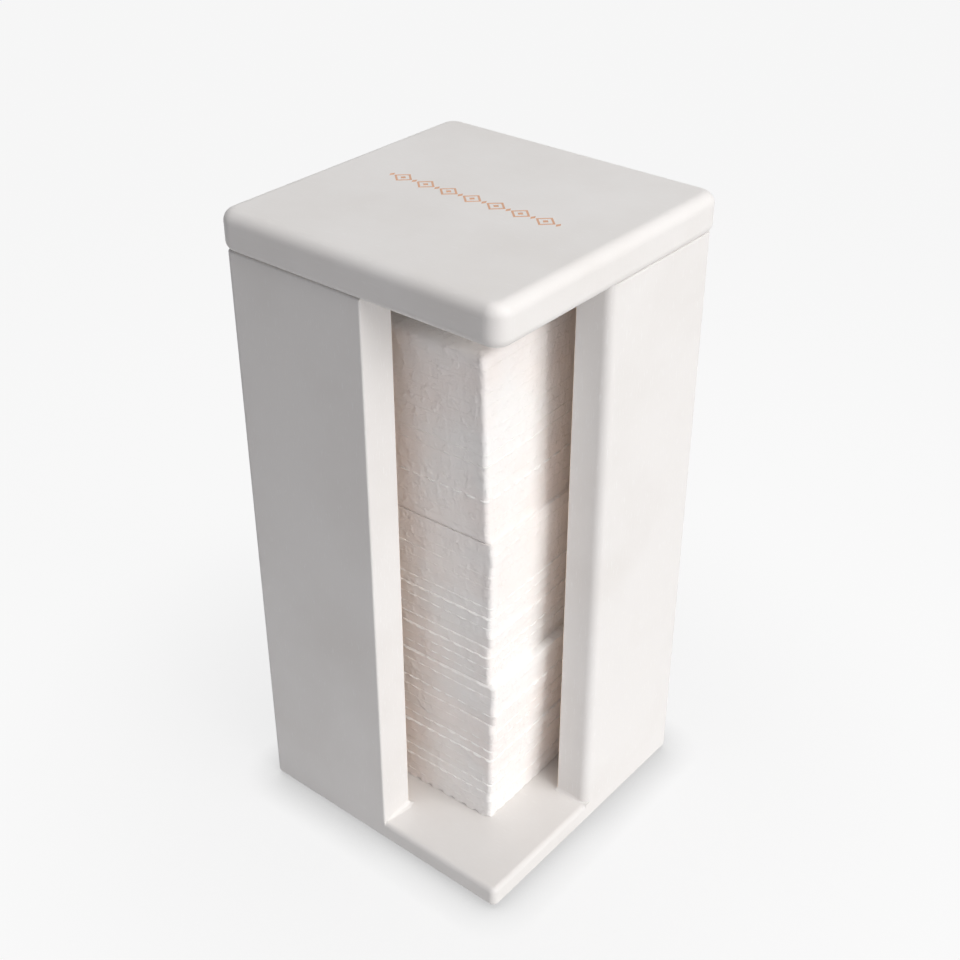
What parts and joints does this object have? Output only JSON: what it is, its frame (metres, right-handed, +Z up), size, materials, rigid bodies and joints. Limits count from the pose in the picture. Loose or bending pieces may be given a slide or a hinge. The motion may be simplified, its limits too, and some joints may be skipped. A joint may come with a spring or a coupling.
{
  "type": "nail wipe box",
  "caption": "Square desk-top box with one open upright corner and a lift-off lid, holding a pile of square wipes.",
  "frame": {"origin": "on the table, under the middle of the box", "axes": "+X right and +Y back seen from the front, +Z up; the open corner is at +X, -Y"},
  "size_m": [0.0822, 0.0822, 0.172],
  "materials": {
    "white_lacquer": "satin white lacquer on board",
    "wipe": "soft unwoven cotton",
    "foot_pad": "matt"
  },
  "bodies": {
    "box": {"base_board": "white_lacquer", "front_wall": "white_lacquer", "right_wall": "white_lacquer", "left_wall": "white_lacquer", "back_wall": "white_lacquer", "foot_discs": "foot_pad", "wipe_01": "wipe", "wipe_02": "wipe", "wipe_03": "wipe", "wipe_04": "wipe", "wipe_05": "wipe", "wipe_06": "wipe", "wipe_07": "wipe", "wipe_08": "wipe", "wipe_09": "wipe", "wipe_10": "wipe", "wipe_11": "wipe", "wipe_12": "wipe", "wipe_13": "wipe", "wipe_14": "wipe", "wipe_15": "wipe", "wipe_16": "wipe", "wipe_17": "wipe", "wipe_18": "wipe", "wipe_19": "wipe", "wipe_20": "wipe", "wipe_21": "wipe", "wipe_22": "wipe", "wipe_23": "wipe", "wipe_24": "wipe", "wipe_25": "wipe", "wipe_26": "wipe", "wipe_27": "wipe", "wipe_28": "wipe", "wipe_29": "wipe", "wipe_30": "wipe", "wipe_31": "wipe", "wipe_32": "wipe", "wipe_33": "wipe", "wipe_34": "wipe", "wipe_35": "wipe", "wipe_36": "wipe", "wipe_37": "wipe", "wipe_38": "wipe", "wipe_39": "wipe", "wipe_40": "wipe", "wipe_41": "wipe", "wipe_42": "wipe", "wipe_43": "wipe", "wipe_44": "wipe"},
    "lid": {"lid_board": "white_lacquer", "lid_panel": "white_lacquer"},
    "top_wipe": {"wipe_45": "wipe"}
  },
  "joints": [
    {"name": "lid_lift", "type": "slide", "parent": "box", "child": "lid", "axis": [0, 0, 1], "range_m": [0, 0.08]},
    {"name": "wipe_draw", "type": "slide", "parent": "box", "child": "top_wipe", "axis": [0.7071, -0.7071, 0], "range_m": [0, 0.1], "deforming": ["wipe_45"]}
  ]
}
